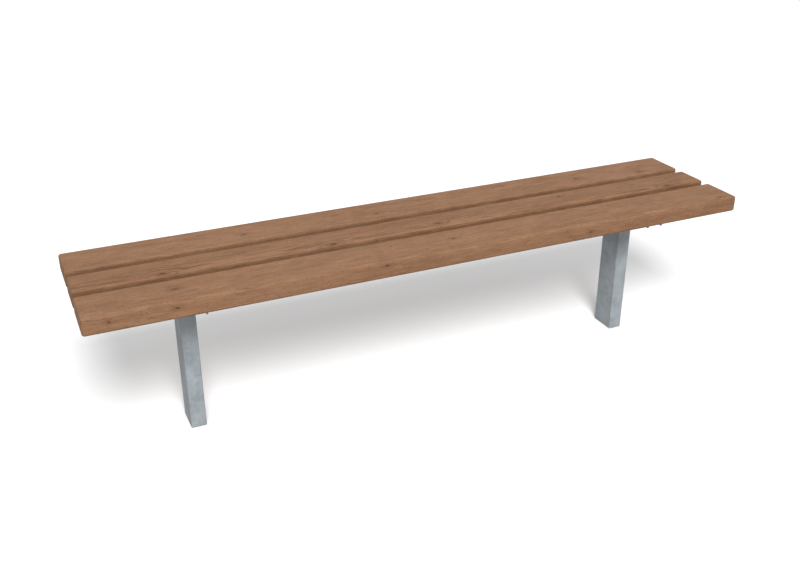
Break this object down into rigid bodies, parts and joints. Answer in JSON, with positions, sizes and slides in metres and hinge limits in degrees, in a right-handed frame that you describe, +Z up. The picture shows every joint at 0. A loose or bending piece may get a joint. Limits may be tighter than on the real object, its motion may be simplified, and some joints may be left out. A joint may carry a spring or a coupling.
{
  "type": "backless bench",
  "caption": "Backless street bench: long timber planks side by side on steel channel bearers welded to rectangular tube posts, screwed from below.",
  "frame": {"origin": "on the ground under the middle of the seat", "axes": "+X along the planks towards the right end, +Y from the front plank to the back plank, +Z up"},
  "size_m": [1.8, 0.382, 0.44],
  "materials": {
    "stained_timber": "planed softwood, brown oil stain, matt",
    "galvanised_steel": "hot-dip galvanised, dull, with a soft spangle",
    "zinc_fastener": "galvanised fastener, satin"
  },
  "bodies": {
    "root": {"back_plank": "stained_timber", "front_plank": "stained_timber", "left_back_screw_1": "zinc_fastener", "left_back_screw_2": "zinc_fastener", "left_back_washer_1": "zinc_fastener", "left_back_washer_2": "zinc_fastener", "left_bearer": "galvanised_steel", "left_front_screw_1": "zinc_fastener", "left_front_screw_2": "zinc_fastener", "left_front_washer_1": "zinc_fastener", "left_front_washer_2": "zinc_fastener", "left_inner_cleat": "galvanised_steel", "left_middle_screw_1": "zinc_fastener", "left_middle_screw_2": "zinc_fastener", "left_middle_washer_1": "zinc_fastener", "left_middle_washer_2": "zinc_fastener", "left_outer_cleat": "galvanised_steel", "left_post": "galvanised_steel", "middle_plank": "stained_timber", "right_back_screw_1": "zinc_fastener", "right_back_screw_2": "zinc_fastener", "right_back_washer_1": "zinc_fastener", "right_back_washer_2": "zinc_fastener", "right_bearer": "galvanised_steel", "right_front_screw_1": "zinc_fastener", "right_front_screw_2": "zinc_fastener", "right_front_washer_1": "zinc_fastener", "right_front_washer_2": "zinc_fastener", "right_inner_cleat": "galvanised_steel", "right_middle_screw_1": "zinc_fastener", "right_middle_screw_2": "zinc_fastener", "right_middle_washer_1": "zinc_fastener", "right_middle_washer_2": "zinc_fastener", "right_outer_cleat": "galvanised_steel", "right_post": "galvanised_steel"}
  },
  "joints": []
}
